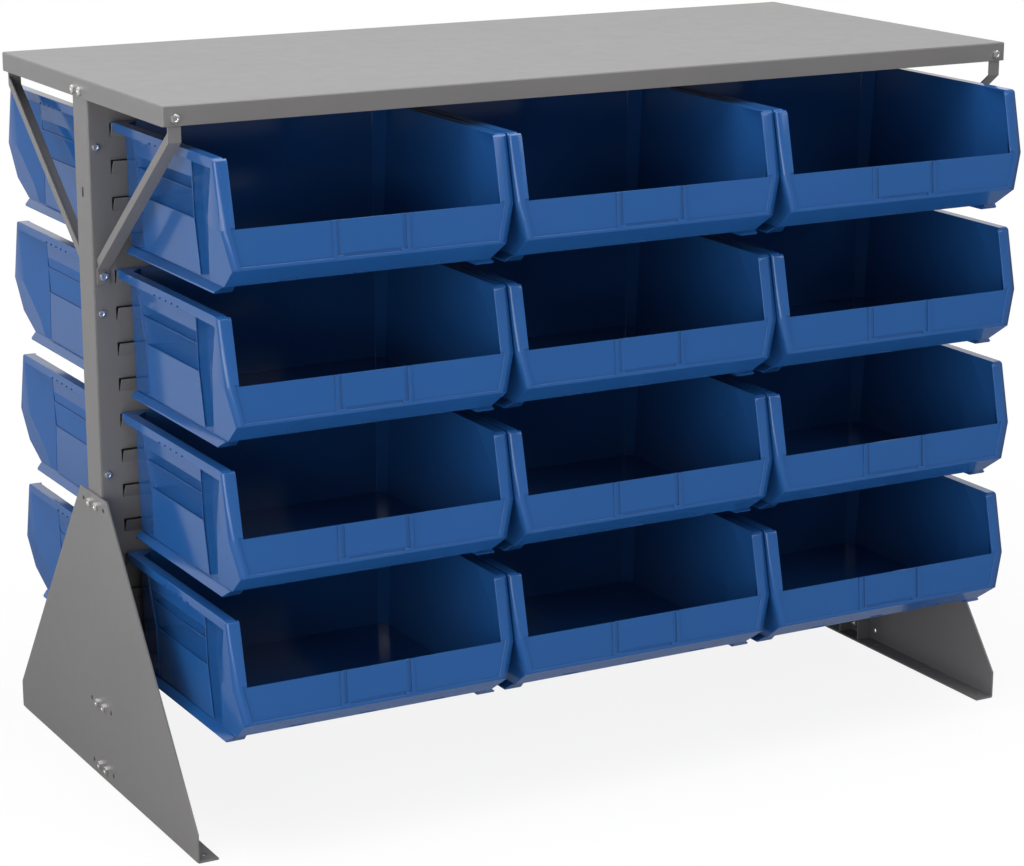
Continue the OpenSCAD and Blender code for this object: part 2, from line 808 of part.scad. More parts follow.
module worktop_bolts() { color(ZINC) at_end_bolts() bolt(bolt_d, bolt_af, bolt_head, end_grip, nut_h); }
module worktop_nuts() { color(ZINC) at_end_bolts() nut(bolt_d, bolt_af, nut_h, end_grip); }

// Places on both faces of the rack, mirrored left and right, looking outward
module at_faces(x, y, z) {
    for (turn = [0, 180]) rotate([0, 0, turn]) for (side = SIDES)
        translate([side * x, y, z]) rotate([-90, 0, 0]) children();
}

module at_brace_tops() { at_faces(brace_x, top_d / 2, brace_top_z) children(); }
module at_brace_feet() { at_faces(brace_x, face_y + brace_t, brace_low_z) children(); }
module at_panel_screws() { for (i = [0:screw_count - 1]) at_faces(screw_x, face_y, screw_z(i)) children(); }

module brace_upper_bolts() {
    color(ZINC) at_brace_tops() bolt(bolt_d, bolt_af, bolt_head, tab_grip, nut_h);
}

module brace_upper_nuts() { color(ZINC) at_brace_tops() nut(bolt_d, bolt_af, nut_h, tab_grip); }
module brace_lower_bolts() {
    color(ZINC) at_brace_feet() bolt(bolt_d, bolt_af, bolt_head, foot_grip, nut_h);
}

module brace_lower_nuts() { color(ZINC) at_brace_feet() nut(bolt_d, bolt_af, nut_h, foot_grip); }
module panel_screws() {
    color(ZINC) at_panel_screws() bolt(screw_d, screw_af, screw_head, panel_grip, screw_nut);
}

module panel_nuts() { color(ZINC) at_panel_screws() nut(screw_d, screw_af, screw_nut, panel_grip); }

worktop();
left_post();
right_post();
front_louver_panel();
rear_louver_panel();
left_leg();
right_leg();
front_left_brace();
front_right_brace();
rear_left_brace();
rear_right_brace();
left_leg_bolts();
right_leg_bolts();
left_leg_nuts();
right_leg_nuts();
worktop_bolts();
worktop_nuts();
brace_upper_bolts();
brace_upper_nuts();
brace_lower_bolts();
brace_lower_nuts();
panel_screws();
panel_nuts();
for (face = FACES) for (row = [1:bin_rows]) for (col = [0:bin_cols - 1])
    bin(face, row, col);
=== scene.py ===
"""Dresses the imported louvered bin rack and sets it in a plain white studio.

The frame is loaded first. Every piece is then made around it in metres, stands for the node that it replaces
and rides on that node's body.
"""
import logging
import math
from dataclasses import dataclass
from enum import Enum
from typing import Callable, Iterable, Optional, Sequence, Union

import bmesh
import bpy
from bpy.types import Material, Mesh, Object
from mathutils import Matrix, Vector


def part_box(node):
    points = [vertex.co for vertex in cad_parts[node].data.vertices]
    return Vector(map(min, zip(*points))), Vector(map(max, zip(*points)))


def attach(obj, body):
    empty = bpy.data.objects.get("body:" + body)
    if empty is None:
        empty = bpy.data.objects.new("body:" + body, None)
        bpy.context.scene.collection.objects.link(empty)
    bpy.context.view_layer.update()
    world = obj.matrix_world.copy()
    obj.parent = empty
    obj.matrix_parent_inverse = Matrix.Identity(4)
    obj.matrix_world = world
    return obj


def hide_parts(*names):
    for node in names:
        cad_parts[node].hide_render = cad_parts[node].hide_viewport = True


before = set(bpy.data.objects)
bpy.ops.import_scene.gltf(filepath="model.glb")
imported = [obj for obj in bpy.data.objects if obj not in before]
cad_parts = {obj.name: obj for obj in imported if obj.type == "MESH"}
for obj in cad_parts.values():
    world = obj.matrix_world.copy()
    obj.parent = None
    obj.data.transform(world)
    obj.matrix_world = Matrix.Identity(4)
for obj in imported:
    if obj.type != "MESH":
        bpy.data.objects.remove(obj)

LOG = logging.getLogger("bin_rack")
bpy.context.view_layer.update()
MM = 0.001
RACK = "rack"
UP = Vector((0.0, 0.0, 1.0))
WHITE = (1.0, 1.0, 1.0, 1.0)
BLACK = (0.0, 0.0, 0.0, 1.0)

Number = Union["Wire", float, int]
Colour = Union["Wire", Sequence[float]]
Triple = tuple[float, float, float]


class Slot(Enum):
    """Material slots of the record."""

    PAINT = "grey_paint"
    ZINC = "zinc"
    PLASTIC = "blue_plastic"


class Side(Enum):
    """Faces of a piece's box, as an axis and an end of it."""

    LEFT = (0, 0)
    RIGHT = (0, 1)
    FRONT = (1, 0)
    REAR = (1, 1)
    LOW = (2, 0)
    TOP = (2, 1)


def operator(operation: str, swapped: bool = False) -> Callable[["Wire", Number], "Wire"]:
    """Makes a method that writes one Math node.

    Args:
        operation: Blender's name of the operation.
        swapped: Whether the wire is the second value.

    Returns:
        The method.
    """
    def method(wire: "Wire", other: Number) -> "Wire":
        """Result of the operation on a wire and another value."""
        return wire.graph.math(operation, *((other, wire) if swapped else (wire, other)))

    return method


class Wire:
    """An output socket that turns Python arithmetic into Math nodes."""

    def __init__(self, graph: "Graph", socket: bpy.types.NodeSocket) -> None:
        """Keeps the socket and the graph that it belongs to."""
        self.graph = graph
        self.socket = socket

    __add__ = operator("ADD")
    __radd__ = operator("ADD", swapped=True)
    __sub__ = operator("SUBTRACT")
    __rsub__ = operator("SUBTRACT", swapped=True)
    __mul__ = operator("MULTIPLY")
    __rmul__ = operator("MULTIPLY", swapped=True)
    __truediv__ = operator("DIVIDE")
    __mod__ = operator("FLOORED_MODULO")
    __lt__ = operator("LESS_THAN")
    __gt__ = operator("GREATER_THAN")

    def __floordiv__(self, other: Number) -> "Wire":
        """Whole part of a quotient."""
        return self.graph.math("FLOOR", self / other)


class Graph:
    """A node tree that is being written."""

    def __init__(self, tree: bpy.types.NodeTree) -> None:
        """Starts on an emptied tree."""
        self.tree = tree
        tree.nodes.clear()

    def node(
        self, kind: str, settings: Optional[dict] = None, sockets: Optional[dict] = None
    ) -> bpy.types.Node:
        """Adds one node.

        Args:
            kind: Blender's name of the node type.
            settings: Properties, which are set before the sockets.
            sockets: Values or wires for the input sockets, by name or number.

        Returns:
            The new node.
        """
        node = self.tree.nodes.new(kind)
        for name, value in (settings or {}).items():
            setattr(node, name, value)
        for key, value in (sockets or {}).items():
            if isinstance(value, Wire):
                self.tree.links.new(value.socket, node.inputs[key])
            else:
                node.inputs[key].default_value = value
        return node

    def wire(
        self, kind: str, output: Union[int, str], settings: Optional[dict] = None,
        sockets: Optional[dict] = None,
    ) -> Wire:
        """Adds one node and takes one of its outputs, by name or number."""
        return Wire(self, self.node(kind, settings, sockets).outputs[output])

    def math(self, operation: str, *values: Number) -> Wire:
        """Adds a Math node and takes its result."""
        return self.wire("ShaderNodeMath", 0, {"operation": operation}, dict(enumerate(values)))

    def blend(self, share: Wire, first: Colour, second: Colour) -> Wire:
        """Mixes two colours by the share of the second."""
        return self.wire("ShaderNodeMix", 2, {"data_type": "RGBA"}, {0: share, 6: first, 7: second})


class ShapeTree(Graph):
    """A Geometry Nodes tree with named inputs for its sizes."""

    def __init__(self, name: str) -> None:
        """Starts a tree that takes one geometry and gives one back."""
        super().__init__(bpy.data.node_groups.new(name, "GeometryNodeTree"))
        self.sizes: dict[str, float] = {}
        self._socket("Geometry", "INPUT", "NodeSocketGeometry")
        self._socket("Geometry", "OUTPUT", "NodeSocketGeometry")
        self.entry = self.node("NodeGroupInput")

    def _socket(self, name: str, way: str, kind: str) -> str:
        """Adds a socket to the tree's interface and gives its identifier."""
        return self.tree.interface.new_socket(name, in_out=way, socket_type=kind).identifier

    def source(self) -> Wire:
        """Geometry that the tree is applied to."""
        return Wire(self, self.entry.outputs["Geometry"])

    def size(self, name: str, value: Union[int, float]) -> Wire:
        """Adds a named input.

        Args:
            name: Name of the size.
            value: What the modifier sets it to.

        Returns:
            The input as a wire.
        """
        kind = "NodeSocketInt" if isinstance(value, int) else "NodeSocketFloat"
        self.sizes[self._socket(name, "INPUT", kind)] = value
        return Wire(self, self.entry.outputs[name])

    def vector(self, x: Number, y: Number, z: Number) -> Wire:
        """Joins three values into a vector."""
        return self.wire("ShaderNodeCombineXYZ", 0, sockets={0: x, 1: y, 2: z})

    def moved(self, shape: Wire, at: Wire) -> Wire:
        """Shape shifted by a vector."""
        return self.wire("GeometryNodeTransform", 0, sockets={"Geometry": shape, "Translation": at})

    def joined(self, *shapes: Wire) -> Wire:
        """Several shapes as one geometry."""
        join = self.node("GeometryNodeJoinGeometry")
        for shape in shapes:
            self.tree.links.new(shape.socket, join.inputs[0])
        return Wire(self, join.outputs[0])

    def cylinder(self, sides: int, radius: Wire, depth: Wire) -> Wire:
        """Cylinder with its middle at the origin."""
        values = {"Vertices": sides, "Radius": radius, "Depth": depth}
        return self.wire("GeometryNodeMeshCylinder", 0, sockets=values)

    def cone(self, sides: int, top: Wire, bottom: Wire, depth: Wire) -> Wire:
        """Cut-off cone that stands on the origin."""
        values = {"Vertices": sides, "Radius Top": top, "Radius Bottom": bottom, "Depth": depth}
        return self.wire("GeometryNodeMeshCone", 0, sockets=values)

    def boolean(self, operation: str, first: Wire, second: Wire) -> Wire:
        """Cuts one closed shape by another.

        Args:
            operation: INTERSECT or DIFFERENCE.
            first: Shape that is cut.
            second: Shape that cuts.

        Returns:
            What is left.
        """
        node = self.node("GeometryNodeMeshBoolean", {"operation": operation, "solver": "EXACT"})
        self.tree.links.new(first.socket, node.inputs[0 if operation == "DIFFERENCE" else 1])
        self.tree.links.new(second.socket, node.inputs[1])
        return Wire(self, node.outputs[0])

    def mesh(self, name: str, start: Mesh, shape: Wire, material: Material) -> Mesh:
        """Ends the tree, runs it on a mesh and keeps the result.

        Args:
            name: Name of the new mesh.
            start: Mesh that the tree is applied to.
            shape: Last geometry of the tree.
            material: Finish of the whole shape.

        Returns:
            The plain mesh.
        """
        real = self.wire("GeometryNodeRealizeInstances", 0, sockets={"Geometry": shape})
        done = self.wire("GeometryNodeSetMaterial", 0, sockets={"Geometry": real, "Material": material})
        self.node("NodeGroupOutput", sockets={"Geometry": done})
        holder = linked(bpy.data.objects.new(f"{name}_source", start))
        modifier = holder.modifiers.new("shape", "NODES")
        modifier.node_group = self.tree
        for identifier, value in self.sizes.items():
            modifier[identifier] = value
        result = settled(holder, name)
        holder.modifiers.remove(modifier)
        bpy.data.objects.remove(holder)
        return result


@dataclass(frozen=True)
class Finish:
    """A surface finish with a slow drift of tone and gloss over a fine relief."""

    name: str
    colour: Triple
    roughness: float
    metallic: float = 0.0
    specular: float = 0.5
    tone_drift: float = 0.06
    tone_scale: float = 6.0
    tone_detail: float = 3.0
    gloss_drift: float = 0.06
    gloss_scale: float = 40.0
    gloss_detail: float = 2.0
    relief_scale: float = 900.0
    relief_detail: float = 0.0
    relief_depth: float = 0.02 * MM

    def noise(self, graph: Graph, scale: float, detail: float, squeeze: Optional[Triple] = None) -> Wire:
        """Noise over the piece's own coordinates.

        Args:
            graph: Material's graph.
            scale: Waves in a metre.
            detail: Number of finer layers.
            squeeze: Further scale of each axis, if there is one.

        Returns:
            A value around a half.
        """
        place = graph.wire("ShaderNodeTexCoord", "Object")
        if squeeze:
            place = graph.wire("ShaderNodeMapping", 0, sockets={"Vector": place, "Scale": squeeze})
        values = {"Vector": place, "Scale": scale, "Detail": detail}
        return graph.wire("ShaderNodeTexNoise", 0, sockets=values)

    def tone(self, graph: Graph) -> Wire:
        """Colour with its slow drift."""
        ends = [(*(c * (1.0 + way * self.tone_drift) for c in self.colour), 1.0) for way in (-1.0, 1.0)]
        return graph.blend(self.noise(graph, self.tone_scale, self.tone_detail), *ends)

    def gloss(self, graph: Graph) -> Wire:
        """Roughness with its slow drift."""
        drift = self.noise(graph, self.gloss_scale, self.gloss_detail) - 0.5
        return self.roughness + self.gloss_drift * drift

    def relief(self, graph: Graph) -> Wire:
        """Height of the fine relief."""
        return self.noise(graph, self.relief_scale, self.relief_detail)

    def material(self) -> Material:
        """Writes the finish as a material.

        Returns:
            The new material.
        """
        made = bpy.data.materials.new(self.name)
        made.use_nodes = True
        graph = Graph(made.node_tree)
        relief = {"Strength": 1.0, "Distance": self.relief_depth, "Height": self.relief(graph)}
        values = {
            "Base Color": self.tone(graph),
            "Metallic": self.metallic,
            "Roughness": self.gloss(graph),
            "Specular IOR Level": self.specular,
            "Normal": graph.wire("ShaderNodeBump", 0, sockets=relief),
        }
        shader = graph.wire("ShaderNodeBsdfPrincipled", 0, sockets=values)
        graph.node("ShaderNodeOutputMaterial", sockets={"Surface": shader})
        made.diffuse_color = (*self.colour, 1.0)
        return made


@dataclass(frozen=True)
class PowderCoat(Finish):
    """Baked grey powder paint with its orange peel."""

    grain_depth: float = 0.3
    grain_pace: float = 4.0

    def relief(self, graph: Graph) -> Wire:
        """Orange peel with a finer grain on it."""
        grain = self.noise(graph, self.grain_pace * self.relief_scale, self.relief_detail)
        return super().relief(graph) + self.grain_depth * grain


@dataclass(frozen=True)
class ZincPlate(Finish):
    """Bright zinc plating, drawn out in fine streaks."""

    streak: float = 9.0
    relief_detail: float = 3.0

    def relief(self, graph: Graph) -> Wire:
        """Fine streaks across the height."""
        return self.noise(graph, self.relief_scale, self.relief_detail, (1.0, 1.0, self.streak))


@dataclass(frozen=True)
class MouldedPlastic(Finish):
    """Moulded polypropylene with a fine eroded texture and faint sinks, and painted shade on its marked step
    faces.
    """

    relief_detail: float = 1.0
    sink_scale: float = 14.0
    sink_detail: float = 0.0
    sink_depth: float = 6.0
    field: str = "matt_and_painted_shade_field"
    field_roughness: float = 0.90
    # painted shade: share of the colour kept on the marked step faces, standing in for the shade in their
    # grooves
    painted_shade_factor: float = 0.50

    def matt_and_shaded(self, graph: Graph) -> Wire:
        """One on the marked step faces, which are matt and carry painted shade."""
        return graph.wire("ShaderNodeAttribute", "Fac", {"attribute_name": self.field})

    def tone(self, graph: Graph) -> Wire:
        """Colour, darkened on the marked step faces as painted shade, standing in for the shade in their
        grooves.
        """
        painted_shade_colour = (*(c * self.painted_shade_factor for c in self.colour), 1.0)
        return graph.blend(self.matt_and_shaded(graph), super().tone(graph), painted_shade_colour)

    def gloss(self, graph: Graph) -> Wire:
        """Roughness, higher on the matt fields."""
        polished = super().gloss(graph)
        return polished + self.matt_and_shaded(graph) * (self.field_roughness - polished)

    def relief(self, graph: Graph) -> Wire:
        """Eroded texture over faint sinks."""
        sinks = self.noise(graph, self.sink_scale, self.sink_detail)
        return super().relief(graph) + self.sink_depth * sinks


PAINT = PowderCoat(
    "grey_powder_coat", (0.155, 0.150, 0.151), 0.36, relief_scale=700.0, relief_depth=0.012 * MM,
)
ZINC = ZincPlate(
    "zinc_plate", (0.80, 0.79, 0.77), 0.30, metallic=1.0, tone_drift=0.08, tone_scale=70.0,
    gloss_drift=0.16, gloss_scale=120.0, relief_scale=600.0,
)
PLASTIC = MouldedPlastic(
    "blue_polypropylene", (0.0143, 0.081, 0.262), 0.12, tone_drift=0.05, tone_scale=5.0,
    gloss_scale=25.0, relief_scale=2200.0, relief_depth=0.004 * MM,
)


def linked(obj: Object) -> Object:
    """Links an object to the scene and gives it back."""
    bpy.context.scene.collection.objects.link(obj)
    return obj


def settled(obj: Object, name: str) -> Mesh:
    """Plain mesh of an object with its modifiers applied.

    Args:
        obj: Object in the scene.
        name: Name of the new mesh.

    Returns:
        The mesh.
    """
    bpy.context.view_layer.update()
    graph = bpy.context.evaluated_depsgraph_get()
    made = obj.evaluated_get(graph)
    mesh = bpy.data.meshes.new_from_object(made, preserve_all_data_layers=True, depsgraph=graph)
    mesh.name = name
    return mesh


def hand_over(name: str, mesh: Mesh, node: str, body: str, slot: Slot) -> None:
    """Puts a finished mesh in the scene in the place of its CAD node.

    Args:
        name: Name of the piece.
        mesh: Finished mesh, with its place in it.
        node: Node that it stands for.
        body: Body that it rides on.
        slot: Record's slot of its finish; not used.
    """
    piece = linked(bpy.data.objects.new(name, mesh))
    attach(piece, body)
    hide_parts(node)
    LOG.info("%s: %d faces for %s", name, len(mesh.polygons), node)


class SolidCopy:
    """A CAD node's solid as clean flat faces that can be softened."""

    MERGE = 0.001 * MM
    NEAR = 0.05 * MM
    FLAT = math.radians(0.4)
    SHARP = math.radians(24.0)
    CREASE = math.radians(50.0)
    FACE_ROOM = 2.6
    EDGE_ROOM = 1.5
    FACE_WEIGHT = 100

    def __init__(self, node: str) -> None:
        """Copies the node's mesh and cleans it."""
        self.lo, self.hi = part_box(node)
        self.bm = bmesh.new()
        self.bm.from_mesh(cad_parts[node].data)
        self._clean()

    def _clean(self) -> None:
        """Closes the mesh and joins its flat triangles."""
        verts, edges = self.bm.verts, self.bm.edges
        bmesh.ops.remove_doubles(self.bm, verts=verts, dist=self.MERGE)
        bmesh.ops.dissolve_limit(self.bm, angle_limit=self.FLAT, verts=verts, edges=edges)

    def on(self, vertex: bmesh.types.BMVert, side: Side) -> bool:
        """Whether a vertex lies on one side of the node's box."""
        axis, end = side.value
        return abs(vertex.co[axis] - (self.lo, self.hi)[end][axis]) < self.NEAR

    def fold(self, skins: Sequence[Side], radius: float, segments: int) -> None:
        """Rounds the bends of a sheet, where two of its outer skins meet.

        Args:
            skins: Sides of the box that are outer skins.
            radius: Outer radius of the bend.
            segments: Flats around the bend.
        """
        def bent(edge: bmesh.types.BMEdge) -> bool:
            """Whether two skins meet along an edge."""
            return sum(all(self.on(v, side) for v in edge.verts) for side in skins) >= 2

        self._bevel([e for e in self.bm.edges if bent(e)], radius, segments)

    def ease(self, width: float, segments: int, sharp: float = SHARP) -> None:
        """Takes the sharpness off each edge that has room for it.

        Args:
            width: Width of the rounding.
            segments: Flats in it.
            sharp: Smallest angle of an edge that is rounded.
        """
        wide = [2.0 * f.calc_area() / f.calc_perimeter() > self.FACE_ROOM * width for f in self.indexed()]
        free = [min(e.calc_length() for e in v.link_edges) > self.EDGE_ROOM * width for v in self.bm.verts]
        corners = [e for e in self.bm.edges if e.is_manifold and e.calc_face_angle(0.0) > sharp]
        roomy = [
            e for e in corners
            if all(wide[f.index] for f in e.link_faces) and all(free[v.index] for v in e.verts)
        ]
        self._bevel(roomy, width, segments)

    def cut(self, tool: Mesh) -> None:
        """Cuts a closed shape out of the solid.

        Args:
            tool: Mesh of the shape, which is used up.
        """
        plain = bpy.data.meshes.new("uncut_solid")
        self.bm.to_mesh(plain)
        holder, cutter = (linked(bpy.data.objects.new(mesh.name, mesh)) for mesh in (plain, tool))
        modifier = holder.modifiers.new("cut", "BOOLEAN")
        modifier.operation = "DIFFERENCE"
        modifier.solver = "EXACT"
        modifier.object = cutter
        self.bm.clear()
        self.bm.from_mesh(settled(holder, "cut_solid"))
        for used in (holder, cutter):
            bpy.data.objects.remove(used)
        self._clean()

    def add(self, shape: Mesh) -> None:
        """Lays a closed shape on the solid; its mesh is used up."""
        self.bm.from_mesh(shape)
        bpy.data.meshes.remove(shape)

    def indexed(self) -> bmesh.types.BMFaceSeq:
        """Faces, after everything has been numbered afresh."""
        for row in (self.bm.verts, self.bm.edges, self.bm.faces):
            row.index_update()
        return self.bm.faces

    def _bevel(self, edges: list, width: float, segments: int) -> None:
        """Rounds some edges."""
        if edges:
            bmesh.ops.bevel(
                self.bm, geom=edges, offset=width, offset_type="OFFSET", segments=segments, profile=0.5,
                affect="EDGES", clamp_overlap=False,
            )

    def mesh(self, name: str, material: Material) -> Mesh:
        """Ends the work.

        Args:
            name: Name of the mesh.
            material: Finish of the whole piece.

        Returns:
            The mesh, smooth over its roundings and flat on its faces.
        """
        plain = bpy.data.meshes.new(name)
        self.bm.to_mesh(plain)
        self.bm.free()
        plain.materials.append(material)
        plain.shade_smooth()
        plain.set_sharp_from_angle(angle=self.CREASE)
        holder = linked(bpy.data.objects.new(f"{name}_source", plain))
        even = holder.modifiers.new("even_shading", "WEIGHTED_NORMAL")
        even.weight = self.FACE_WEIGHT
        even.keep_sharp = True
        result = settled(holder, name)
        bpy.data.objects.remove(holder)
        return result


@dataclass(frozen=True)
class SheetPiece:
    """One folded steel piece: its node and the sides of its box that are outer skins."""

    node: str
    skins: tuple[Side, ...] = ()


@dataclass
class SteelFrame:
    """Worktop, posts, legs and braces, folded from sheet and painted."""

    edge: float = 0.5 * MM
    bend: float = 2.4 * MM
    bend_flats: int = 4
    edge_flats: int = 2
    pieces: tuple[SheetPiece, ...] = (
        SheetPiece("worktop", (Side.TOP, Side.LEFT, Side.RIGHT, Side.FRONT, Side.REAR)),
        SheetPiece("left_post", (Side.LEFT, Side.FRONT, Side.REAR)),
        SheetPiece("right_post", (Side.RIGHT, Side.FRONT, Side.REAR)),
        SheetPiece("left_leg", (Side.LEFT, Side.LOW)),
        SheetPiece("right_leg", (Side.RIGHT, Side.LOW)),
        *(SheetPiece(f"{place}_brace") for place in ("front_left", "front_right", "rear_left", "rear_right")),
    )

    def build(self, paint: Material) -> None:
        """Makes every piece in the place of its node.

        Args:
            paint: Finish of the steel.
        """
        for piece in self.pieces:
            copy = SolidCopy(piece.node)
            copy.fold(piece.skins, self.bend, self.bend_flats)
            copy.ease(self.edge, self.edge_flats)
            name = f"{piece.node}_painted"
            hand_over(name, copy.mesh(name, paint), piece.node, RACK, Slot.PAINT)


@dataclass
class LouverPanels:
    """The two louvered sheets, punched in rows: a holed sheet with a leaning tongue over each window."""

    columns: int = 12
    rows: int = 16
    step: float = 106.0 * MM
    pitch: float = 50.8 * MM
    tongue: float = 98.0 * MM
    height: float = 18.0 * MM
    lean: float = 8.5 * MM
    sheet: float = 1.5 * MM
    slit: float = 1.2 * MM
    gap: float = 0.6 * MM
    low_strip: float = 28.0 * MM

    def build(self, paint: Material) -> None:
        """Makes both panels in the places of their nodes.

        Args:
            paint: Finish of the sheet.
        """
        lo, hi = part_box("rear_louver_panel")
        for node, turn in (("rear_louver_panel", 0.0), ("front_louver_panel", math.pi)):
            name = f"{node}_painted"
            mesh = self.panel(name, lo, hi, paint)
            mesh.transform(Matrix.Rotation(turn, 4, "Z"))
            mesh.shade_flat()
            hand_over(name, mesh, node, RACK, Slot.PAINT)

    def panel(self, name: str, lo: Vector, hi: Vector, paint: Material) -> Mesh:
        """Grows one panel on the rear of the posts.

        Args:
            name: Name of the mesh.
            lo: Lowest corner of the panel's node.
            hi: Highest corner of the panel's node.
            paint: Finish of the sheet.

        Returns:
            The panel.
        """
        tree = ShapeTree("louvered_sheet")
        values = {
            "Half width": (hi.x - lo.x) / 2, "Inner face": lo.y,
            "Lower edge": lo.z, "Upper edge": hi.z,
            "Columns": self.columns, "Rows": self.rows,
            "Step": self.step, "Pitch": self.pitch,
            "Tongue length": self.tongue, "Tongue height": self.height, "Tongue lean": self.lean,
            "Tongue skin": self.sheet * math.hypot(1.0, self.lean / self.height),
            "Sheet": self.sheet, "Slit": self.slit,
            "Lowest root": lo.z + self.low_strip, "Window height": self.height + self.gap,
        }
        size = {label: tree.size(label, value) for label, value in values.items()}
        columns, rows, sheet, inner = (size[label] for label in ("Columns", "Rows", "Sheet", "Inner face"))
        wide = (columns - 1.0) * size["Step"]
        tall = (rows - 1.0) * size["Pitch"]
        shifted = tree.moved(self.holed_sheet(tree, size), tree.vector(0.0, inner + sheet, 0.0))
        outer = tree.wire("GeometryNodeFlipFaces", 0, sockets={"Mesh": shifted})
        drawn = tree.wire(
            "GeometryNodeExtrudeMesh", 0, {"mode": "FACES"},
            {"Mesh": shifted, "Offset Scale": sheet, "Individual": False},
        )
        closed = tree.wire(
            "GeometryNodeMergeByDistance", 0,
            sockets={"Geometry": tree.joined(outer, drawn), "Distance": SolidCopy.MERGE},
        )
        spots = tree.wire(
            "GeometryNodeMeshGrid", 0,
            sockets={"Size X": wide, "Size Y": tall, "Vertices X": columns, "Vertices Y": rows},
        )
        middle = tree.vector(0.0, inner, size["Lowest root"] + tall * 0.5)
        upright = tree.wire(
            "GeometryNodeTransform", 0,
            sockets={"Geometry": spots, "Rotation": (math.pi / 2, 0.0, 0.0), "Translation": middle},
        )
        tongues = tree.wire(
            "GeometryNodeInstanceOnPoints", 0,
            sockets={"Points": upright, "Instance": self.leaning_tongue(tree, size)},
        )
        return tree.mesh(name, bpy.data.meshes.new(name), tree.joined(closed, tongues), paint)

    @staticmethod
    def holed_sheet(tree: ShapeTree, size: dict[str, Wire]) -> Wire:
        """Lays out a flat sheet whose grid lines are the sides of the windows, and takes the windows out.

        Args:
            tree: Tree that is being written.
            size: Its inputs by name.

        Returns:
            The flat sheet, facing front.
        """
        half, step, tongue, slit = (size[label] for label in ("Half width", "Step", "Tongue length", "Slit"))
        across = size["Columns"] * 2.0 + 2.0
        up = size["Rows"] * 2.0 + 2.0
        first = ((1.0 - size["Columns"]) * step - tongue) * 0.5 - slit
        index = tree.wire("GeometryNodeInputIndex", 0)
        grid = tree.wire("GeometryNodeMeshGrid", 0, sockets={"Vertices X": across, "Vertices Y": up})

        def line(number: Wire, count: Wire, begin: Wire, pace: Wire, gap: Wire, ends: Sequence[Wire]) -> Wire:
            """Place of one grid line: an outer edge, or the near or far side of a window."""
            at_low = number < 0.5
            at_high = number > count - 1.5
            inside = begin + ((number - 1.0) // 2.0) * pace + ((number - 1.0) % 2.0) * gap
            return inside * (1.0 - at_low - at_high) + at_low * ends[0] + at_high * ends[1]

        place = tree.vector(
            line(index // up, across, first, step, tongue + 2.0 * slit, (-1.0 * half, half)),
            0.0,
            line(
                index % up, up, size["Lowest root"], size["Pitch"], size["Window height"],
                (size["Lower edge"], size["Upper edge"]),
            ),
        )
        laid = tree.wire("GeometryNodeSetPosition", 0, sockets={"Geometry": grid, "Position": place})
        cells = up - 1.0
        is_window = ((index // cells) % 2.0) * ((index % cells) % 2.0)
        return tree.wire(
            "GeometryNodeDeleteGeometry", 0, {"domain": "FACE"},
            {"Geometry": laid, "Selection": is_window > 0.5},
        )

    @staticmethod
    def leaning_tongue(tree: ShapeTree, size: dict[str, Wire]) -> Wire:
        """One tongue, bent out of the sheet at its root.

        Args:
            tree: Tree that is being written.
            size: Its inputs by name.

        Returns:
            The tongue with the middle of its root at the origin.
        """
        sheet = size["Sheet"]
        bulk = tree.vector(size["Tongue length"], 1.0, 1.0)
        block = tree.wire("GeometryNodeMeshCube", 0, sockets={"Size": bulk})
        corner = tree.node("ShaderNodeSeparateXYZ", sockets={0: tree.wire("GeometryNodeInputPosition", 0)})
        x, out, up = (Wire(tree, socket) for socket in corner.outputs)
        rise = up + 0.5
        depth = (out + 0.5) * (sheet + (size["Tongue skin"] - sheet) * rise) + size["Tongue lean"] * rise
        place = tree.vector(x, depth, rise * size["Tongue height"])
        return tree.wire("GeometryNodeSetPosition", 0, sockets={"Geometry": block, "Position": place})


class Run(Enum):
    """Axis of a fastener group."""

    ALONG = 0
    DEEP = 1


@dataclass(frozen=True)
class HexGroup:
    """Bolts, screws or nuts of one node: the axis that they lie along and the sizes of their hexagons."""

    node: str
    run: Run
    flats: float
    depth: float
    shank: float
    is_nut: bool


